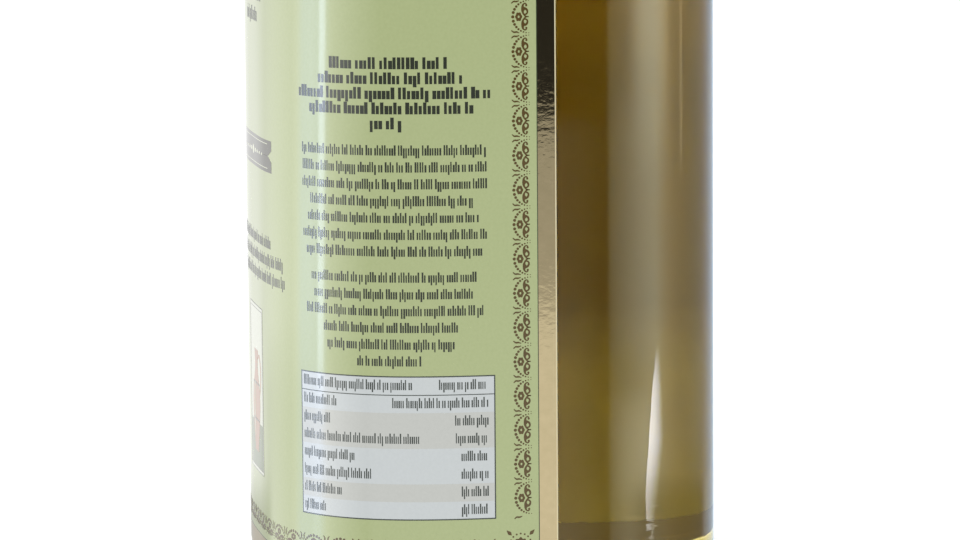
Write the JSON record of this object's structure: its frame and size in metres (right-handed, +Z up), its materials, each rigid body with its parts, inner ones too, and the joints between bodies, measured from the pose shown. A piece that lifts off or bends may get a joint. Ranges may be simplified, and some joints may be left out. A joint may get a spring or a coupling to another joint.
{
  "type": "olive oil bottle",
  "caption": "Shut clear glass bottle of olive oil with a rounded square body, round neck, screw cap and a wrap-round paper label with a gold edge.",
  "frame": {"origin": "middle of the foot, on the surface that the bottle stands on", "axes": "+Z up along the bottle, -Y out of the middle of the label's front, +X to the right seen from the front"},
  "size_m": [0.0782, 0.0776, 0.297],
  "materials": {
    "glass": "clear, smooth",
    "oil": "clear golden brown liquid",
    "label_paper": "varnished, semi-gloss",
    "gold_foil": "bright gold foil",
    "cap": "dark green lacquer, satin"
  },
  "bodies": {
    "root": {"glass_bottle": "glass", "oil": "oil", "label_paper": "label_paper", "label_gold_edge": "gold_foil", "cap": "cap", "tamper_band": "cap"}
  },
  "joints": []
}
